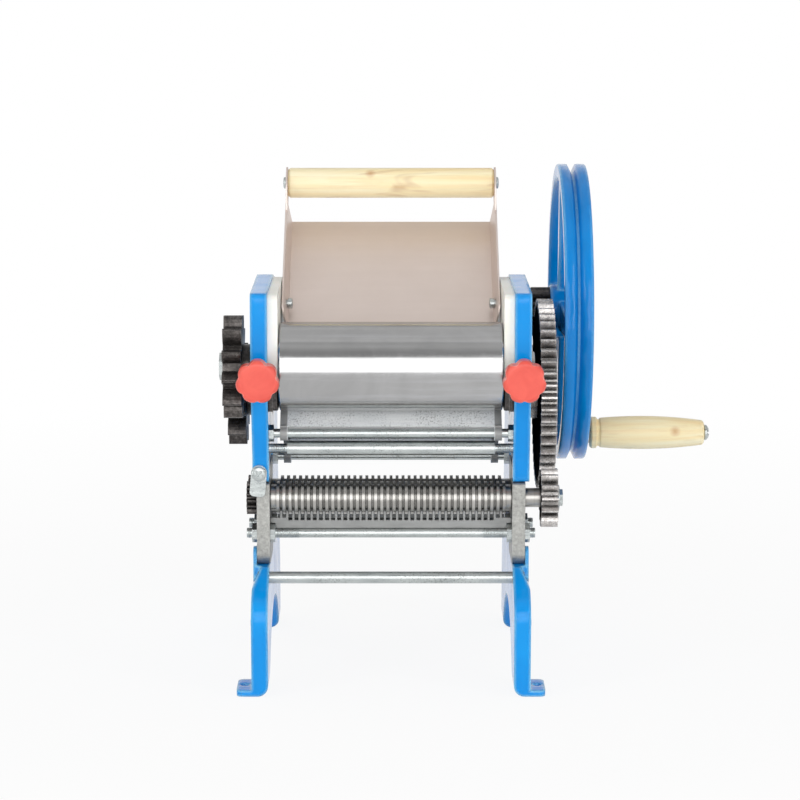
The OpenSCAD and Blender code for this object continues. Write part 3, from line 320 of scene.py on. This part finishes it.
finishes = {
    "cast_blue": enamel("blue_enamel", linear(0, 136, 218), linear(0, 147, 229), linear(4, 158, 238)),
    "cheek_cream": nylon_cream(),
    "bush_bronze": steel_finish("bronze", linear(150, 110, 62), linear(196, 152, 92),
                                (0.3, 0.45), (60, 900, 900)),
    "zinc_steel": steel_finish("zinc_plate", linear(164, 170, 171), linear(208, 213, 211), (0.22, 0.42),
                               (60, 500, 500), spots=linear(112, 114, 112)),
    "scraper_steel": steel_finish("scraper_steel", linear(222, 226, 228), linear(242, 244, 244),
                                  (0.42, 0.58), (30, 500, 500), spots=linear(120, 122, 122), metallic=0.25,
                                  ends=(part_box("front_scraper")[1].x - SCRAPER_LUG, linear(150, 150, 148))),
    "plate_iron": cast_finish("cutter_plate_iron", linear(136, 136, 133), linear(166, 166, 162),
                              linear(192, 192, 188), (0.42, 0.58), linear(216, 216, 214)),
    "roller_steel": roller_steel(),
    "cutter_steel": steel_finish("cutter_steel", linear(150, 148, 144), linear(192, 190, 186), (0.24, 0.36),
                                 (300, 30, 30), 0.03, 0.15 * MM, gap_shade=linear(38, 36, 34)),
    "gear_black": cast_finish("black_gear_iron", linear(40, 37, 36), linear(72, 68, 66),
                              linear(112, 107, 104), (0.26, 0.4), linear(186, 182, 178), 0.8,
                              gap_shade=linear(24, 22, 21)),
    "gear_grey": cast_finish("grey_gear_iron", linear(132, 127, 124), linear(182, 178, 175),
                             linear(220, 217, 215), (0.2, 0.32), linear(244, 243, 242), 0.9,
                             skin=linear(46, 43, 42), gap_shade=linear(44, 40, 38)),
    "knob_red": coral_plastic(),
    "tray_sheet": steel_finish("tray_sheet", linear(219, 205, 197), linear(226, 213, 206), (0.38, 0.5),
                               (8, 90, 90), 0.02, metallic=0.65),
    "pine": pine_wood(),
}
# painted shade: the same blue enamel, darker, for the handwheel that faces away from the light
shaded_wheel_blue = enamel("shaded_wheel_enamel", linear(0, 122, 200), linear(0, 133, 212), linear(4, 145, 222))
comb_steel = steel_finish("comb_steel", linear(126, 127, 126), linear(160, 161, 160), (0.4, 0.55),
                          (60, 300, 300), metallic=0.5, gap_shade=linear(40, 38, 36))
own_finish = {"handwheel": shaded_wheel_blue, "front_comb": comb_steel, "rear_comb": comb_steel}
for name, thing in nodes.items():
    thing.data.materials.clear()
    thing.data.materials.append(own_finish.get(name) or finishes[slot_of[name]])


def piece(name, points, faces, body, slot, smooth=True):
    """A new mesh that rides on a body and takes its finish from a slot."""
    data = bpy.data.meshes.new(name)
    data.from_pydata(points, [], faces)
    data.polygons.foreach_set("use_smooth", [smooth] * len(data.polygons))
    data.materials.append(finishes[slot])
    thing = bpy.data.objects.new(name, data)
    bpy.context.collection.objects.link(thing)
    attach(thing, body)
    return thing


def thread(name, body, start, end, radius, pitch):
    """A ridge wound round a rod from start to end, both on its axis, running out at its ends."""
    steps_a_turn = 20
    depth = 0.3 * pitch
    half_base = 0.42 * pitch
    sunk = 0.05 * MM
    axis = (end - start).normalized()
    side = axis.orthogonal().normalized()
    steps = round((end - start).length / pitch * steps_a_turn)
    points = []
    faces = []
    for step in range(steps + 1):
        turn = Quaternion(axis, 2 * math.pi * step / steps_a_turn)
        outward = turn @ side
        centre = start + axis * (pitch * step / steps_a_turn)
        runout = min(1.0, step / steps_a_turn, (steps - step) / steps_a_turn)
        crest = radius + depth * runout
        half = half_base * runout
        points.append(centre - axis * half + outward * (radius - sunk))
        points.append(centre + outward * crest)
        points.append(centre + axis * half + outward * (radius - sunk))
    for step in range(steps):
        near, far = 3 * step, 3 * step + 3
        faces.append((near, near + 1, far + 1, far))
        faces.append((near + 1, near + 2, far + 2, far + 1))
        faces.append((near + 2, near, far, far + 2))
    piece(name, points, faces, body, "zinc_steel")


def pan_head(name, body, centre, facing, radius, depth):
    """A domed cap with a cross recess, fitted over a plain screw head whose outer face is at centre."""
    rings = 18
    sectors = 64
    rise = 0.16 * radius
    recess = 0.24 * radius
    arm = 0.56 * radius
    half_arm = 0.13 * radius
    lap = 0.05 * MM
    side = facing.orthogonal().normalized()
    up = facing.cross(side)

    def height(across, along):
        reach = math.hypot(across, along)
        dome = rise * (1.0 - (reach / radius) ** 4)
        long_side, short_side = max(abs(across), abs(along)), min(abs(across), abs(along))
        inside = min((arm - long_side) / half_arm, (half_arm - short_side) / half_arm)
        return dome - recess * min(1.0, max(0.0, 2.5 * inside))

    points = [centre + facing * height(0.0, 0.0)]
    faces = []
    for ring in range(1, rings + 2):
        reach = radius * min(ring, rings) / rings
        for sector in range(sectors):
            angle = 2 * math.pi * sector / sectors
            across, along = reach * math.cos(angle), reach * math.sin(angle)
            lift = height(across, along) if ring <= rings else -depth
            edge = 1.0 + lap / radius if ring >= rings else 1.0
            points.append(centre + facing * lift + (side * across + up * along) * edge)
    for sector in range(sectors):
        after = (sector + 1) % sectors
        faces.append((0, 1 + sector, 1 + after))
        for ring in range(rings):
            inner, outer = 1 + ring * sectors, 1 + (ring + 1) * sectors
            faces.append((inner + sector, outer + sector, outer + after, inner + after))
    piece(name, points, faces, body, "zinc_steel")


def middle(node):
    """Centre of a node's box."""
    low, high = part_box(node)
    return (low + high) / 2


def rod_threads():
    """Threads where nuts are run on the rods, left and right alike."""
    neck_r = 3.0 * MM
    neck_l = 4.4 * MM
    coarse = 1.2 * MM
    fine = 1.0 * MM
    nut_t = 3.4 * MM
    head_thread_l = 20.0 * MM
    frame_gap = 0.5 * MM
    nut_in_gap = 0.4 * MM
    nut_out_gap = 0.2 * MM
    rod_end_gap = 0.3 * MM
    rod = middle("upper_tie_rod")
    frame_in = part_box("right_frame")[0].x
    cheek_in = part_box("right_cheek")[0].x
    plate_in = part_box("right_cutter_plate")[0].x
    nuts_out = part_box("cutter_rod_nuts")[1].x
    low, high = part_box("cutter_tie_rods")
    rod_r = (high.z - low.z) / 2
    height = (low.z + high.z) / 2
    for hand, side in SIDES:
        thread(f"{side}_upper_rod_thread", "frame",
               Vector((hand * (cheek_in - neck_l), rod.y, rod.z)),
               Vector((hand * (frame_in - frame_gap), rod.y, rod.z)), neck_r, coarse)
        for name, at in (("front", low.y + rod_r), ("rear", high.y - rod_r)):
            thread(f"{side}_{name}_head_rod_thread", "frame",
                   Vector((hand * (plate_in - head_thread_l), at, height)),
                   Vector((hand * (plate_in - nut_t - nut_in_gap), at, height)), rod_r, fine)
            thread(f"{side}_{name}_head_rod_end_thread", "frame",
                   Vector((hand * (nuts_out + nut_out_gap), at, height)),
                   Vector((hand * (high.x - rod_end_gap), at, height)), rod_r, fine)


def screw_heads():
    """Domed cross-recess heads over the plain heads of the latch, tray and handle screws."""
    latch_head_t = 2.6 * MM
    small_head_t = 1.4 * MM
    low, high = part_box("latch_screw")
    centre = Vector(((low.x + high.x) / 2, low.y, (low.z + high.z) / 2))
    pan_head("latch_screw_head", "frame", centre, Vector((0, -1, 0)), (high.x - low.x) / 2, latch_head_t)
    for node, body, inward in (("tray_screws", "frame", True), ("handle_screws", "feed_tray", False)):
        low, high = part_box(node)
        reach = min(abs(v.co.x) for v in nodes[node].data.vertices) if inward else high.x
        for hand, side in SIDES:
            facing = Vector((-hand if inward else hand, 0, 0))
            centre = Vector((hand * reach, (low.y + high.y) / 2, (low.z + high.z) / 2))
            pan_head(f"{side}_{node}_head", body, centre, facing, (high.z - low.z) / 2, small_head_t)


def bearing_faces():
    """Dark wear plates between each bearing block and the roller's end, under the shaft."""
    corner = 4.0 * MM
    chamfer = 0.7 * MM
    steps = 8
    roller_gap = 0.8 * MM
    cheek_gap = 1.3 * MM
    roller_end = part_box("front_scraper")[1].x + roller_gap
    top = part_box("left_cheek")[0].z - cheek_gap
    for hand, side in SIDES:
        low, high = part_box(side + "_bearing_block")
        block = high.x if hand < 0 else low.x
        near_roller = hand * roller_end
        loops = sorted(((block, 0.0), (near_roller + hand * chamfer, 0.0), (near_roller, chamfer)))
        points = []
        for at, inset in loops:
            front, back = low.y + inset, high.y - inset
            foot, head = low.z + inset, top - inset
            corners = ((back, head), (front, head), (front, foot), (back, foot))
            for turn, (y, z) in enumerate(corners):
                centre_y = y + (-corner if y == back else corner)
                centre_z = z + (-corner if z == head else corner)
                for step in range(steps + 1):
                    angle = math.pi / 2 * (turn + step / steps)
                    points.append((at, centre_y + corner * math.cos(angle),
                                   centre_z + corner * math.sin(angle)))
        count = len(points) // len(loops)
        faces = [tuple(reversed(range(count))), tuple(range(len(points) - count, len(points)))]
        for ring in range(len(loops) - 1):
            for place in range(count):
                after = (place + 1) % count
                near, far = ring * count, (ring + 1) * count
                faces.append((near + place, near + after, far + after, far + place))
        piece(side + "_bearing_face", points, faces, "roller_carriage", "gear_black", smooth=False)


def slotted_bolt():
    """The crank bolt with a domed, slotted head, in the space of its plain solid."""
    low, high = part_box("crank_bolt")
    axis_y, axis_z = (low.y + high.y) / 2, (low.z + high.z) / 2
    head_r = (high.z - low.z) / 2
    shank_r = max(math.hypot(v.co.y - axis_y, v.co.z - axis_z)
                  for v in nodes["crank_bolt"].data.vertices if v.co.x < middle("crank_bolt").x)
    dome = 2.2 * MM
    slot_half = 0.8 * MM
    slot_flank = 0.3 * MM
    slot_depth = 1.6 * MM
    chamfer = 0.4 * MM
    rim_t = 0.5 * MM
    grip_gap = 0.4 * MM
    head_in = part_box("crank_grip")[1].x + grip_gap
    slot_floor = high.x - slot_depth
    sectors = 64
    rings = 20
    profile = [(shank_r, low.x), (shank_r, head_in),
               (head_r - chamfer, head_in), (head_r, head_in + chamfer)]
    for ring in range(rings):
        reach = 1.0 - ring / rings
        profile.append((head_r * reach, high.x - dome * reach ** 3))
    points = []
    for radius, at in profile:
        for sector in range(sectors):
            angle = 2 * math.pi * sector / sectors
            across, along = radius * math.cos(angle), radius * math.sin(angle)
            edge = min(1.0, max(0.0, (slot_half - abs(along)) / slot_flank + 1.0))
            cut = at - edge * max(0.0, at - slot_floor) if at > head_in + rim_t else at
            points.append((cut, axis_y + across, axis_z + along))
    faces = [tuple(reversed(range(sectors)))]
    for ring in range(len(profile) - 1):
        for sector in range(sectors):
            after = (sector + 1) % sectors
            near, far = ring * sectors, (ring + 1) * sectors
            faces.append((near + sector, near + after, far + after, far + sector))
    faces.append(tuple(range((len(profile) - 1) * sectors, len(profile) * sectors)))
    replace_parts(piece("slotted_crank_bolt", points, faces, "handwheel", "zinc_steel"), "crank_bolt")


def camera():
    """The photograph's view: a long lens, looking a little down."""
    data = bpy.data.cameras.new("camera")
    data.sensor_width = SENSOR
    data.lens = FOCAL_PX / IMAGE * SENSOR
    data.shift_x = (IMAGE / 2 - CENTRE_PX) / IMAGE
    thing = bpy.data.objects.new("camera", data)
    thing.location = CAMERA_AT
    pitch = math.atan((IMAGE / 2 - HORIZON_PX) / FOCAL_PX)
    thing.rotation_euler = (math.pi / 2 - pitch, 0.0, 0.0)
    bpy.context.collection.objects.link(thing)
    bpy.context.scene.camera = thing


def lamp(name, place, target, width, height, power):
    """A rectangular area lamp aimed at target."""
    data = bpy.data.lights.new(name, "AREA")
    data.shape = "RECTANGLE"
    data.size = width
    data.size_y = height
    data.energy = power
    thing = bpy.data.objects.new(name, data)
    thing.location = place
    thing.rotation_euler = (Vector(target) - Vector(place)).to_track_quat("-Z", "Y").to_euler()
    bpy.context.collection.objects.link(thing)


def floor():
    """White paper that keeps the shadow near the machine and runs out to plain white."""
    width = 60.0
    near, far = 0.3, 1.0
    near_glow = 0.9
    bpy.ops.mesh.primitive_plane_add(size=width, location=(0.0, 0.0, -FLOOR_GAP))
    thing = bpy.context.object
    thing.name = "floor"
    m = Material("floor_paper", Roughness=0.9)
    fibre = m.noise(4.0)
    m.set("Base Color", m.ramp(fibre, (0.3, linear(246, 246, 246)), (0.7, linear(252, 252, 252))))
    reach = m.node("ShaderNodeVectorMath", {0: m.place}, operation="LENGTH").outputs["Value"]
    path = m.node("ShaderNodeLightPath").outputs
    mirrored = m.maths("MAXIMUM", path["Is Glossy Ray"], path["Is Transmission Ray"])
    seen = m.maths("MAXIMUM", path["Is Camera Ray"], mirrored)
    glow = m.node("ShaderNodeEmission", {"Color": WHITE, "Strength": 1.0}).outputs["Emission"]
    share = m.maths("MULTIPLY", seen, m.span(reach, near_glow, 1.0, near, far))
    blend = m.node("ShaderNodeMixShader", {"Fac": share, 1: m.shader.outputs["BSDF"], 2: glow})
    m.tree.links.new(blend.outputs["Shader"], m.tree.nodes["Material Output"].inputs["Surface"])
    thing.data.materials.append(m.data)


def surround():
    """White room: bright backdrop, a greyer ceiling for metal to mirror, soft fill for the rest."""
    world = bpy.data.worlds.new("surround")
    bpy.context.scene.world = world
    world.use_nodes = True
    tree = world.node_tree
    tree.nodes.clear()

    def node(kind, **settings):
        made = tree.nodes.new(kind)
        for name, value in settings.items():
            setattr(made, name, value)
        return made

    def light(strength):
        made = node("ShaderNodeBackground")
        made.inputs["Color"].default_value = WHITE
        made.inputs["Strength"].default_value = strength
        return made

    split = node("ShaderNodeSeparateXYZ")
    tree.links.new(node("ShaderNodeTexCoord").outputs["Generated"], split.inputs["Vector"])
    ahead = node("ShaderNodeMath", operation="MULTIPLY")
    ahead.inputs[1].default_value = -1.0
    tree.links.new(split.outputs["Y"], ahead.inputs[0])
    rise = node("ShaderNodeMath", operation="ARCTAN2")
    tree.links.new(split.outputs["Z"], rise.inputs[0])
    tree.links.new(ahead.outputs["Value"], rise.inputs[1])
    turn = node("ShaderNodeMath", operation="DIVIDE")
    turn.inputs[1].default_value = math.pi
    tree.links.new(rise.outputs["Value"], turn.inputs[0])
    sky = node("ShaderNodeValToRGB")
    tree.links.new(turn.outputs["Value"], sky.inputs["Fac"])
    stops = ((0.0, 0.5), (0.26, 0.45), (0.34, 0.75), (0.42, 0.6),
             (0.5, 0.47), (0.7, 0.47), (0.8, 0.6), (0.92, 1.0))
    while len(sky.color_ramp.elements) < len(stops):
        sky.color_ramp.elements.new(0.5)
    for element, (position, grey) in zip(sky.color_ramp.elements, stops):
        element.position = position
        element.color = (grey, grey, grey, 1.0)

    mirror = light(1.0)
    tree.links.new(sky.outputs["Color"], mirror.inputs["Color"])
    path = node("ShaderNodeLightPath").outputs
    clear = node("ShaderNodeMath", operation="MAXIMUM")
    tree.links.new(path["Is Glossy Ray"], clear.inputs[0])
    tree.links.new(path["Is Transmission Ray"], clear.inputs[1])
    inner = node("ShaderNodeMixShader")
    tree.links.new(clear.outputs["Value"], inner.inputs["Fac"])
    tree.links.new(light(FILL).outputs["Background"], inner.inputs[1])
    tree.links.new(mirror.outputs["Background"], inner.inputs[2])
    outer = node("ShaderNodeMixShader")
    tree.links.new(path["Is Camera Ray"], outer.inputs["Fac"])
    tree.links.new(inner.outputs["Shader"], outer.inputs[1])
    tree.links.new(light(1.0).outputs["Background"], outer.inputs[2])
    tree.links.new(outer.outputs["Shader"], node("ShaderNodeOutputWorld").inputs["Surface"])


def lamps():
    """A broad soft box behind the camera, a tall strip on each side and a low ceiling panel."""
    lamp("front", (0.0, -2.2, 0.77), (0.0, 0.0, 0.77), 1.7, 1.5, 20.0)
    lamp("left_strip", (-1.6, -1.2, 0.7), (0.0, 0.0, 0.2), 0.25, 1.6, 8.0)
    lamp("right_strip", (1.6, -1.2, 0.7), (0.0, 0.0, 0.2), 0.25, 1.6, 8.0)
    lamp("ceiling", (0.0, 0.6, 2.2), (0.0, 0.6, 0.0), 2.4, 2.4, 5.8)


def wheel_edges():
    """Rounds the handwheel's edges, as sand casting and thick paint leave them."""
    thing = nodes["handwheel"]
    weld = thing.modifiers.new("weld", "WELD")
    weld.merge_threshold = 0.01 * MM
    flat = thing.modifiers.new("flat", "DECIMATE")
    flat.decimate_type = "DISSOLVE"
    flat.angle_limit = math.radians(0.5)
    bevel = thing.modifiers.new("round", "BEVEL")
    bevel.width = 1.2 * MM
    bevel.segments = 3
    bevel.limit_method = "ANGLE"
    bevel.angle_limit = math.radians(75.0)
    bevel.use_clamp_overlap = False
    thing.modifiers.new("shade", "WEIGHTED_NORMAL").keep_sharp = True


wheel_edges()
rod_threads()
screw_heads()
bearing_faces()
slotted_bolt()
camera()
floor()
surround()
lamps()
bpy.context.scene.view_settings.view_transform = "Standard"
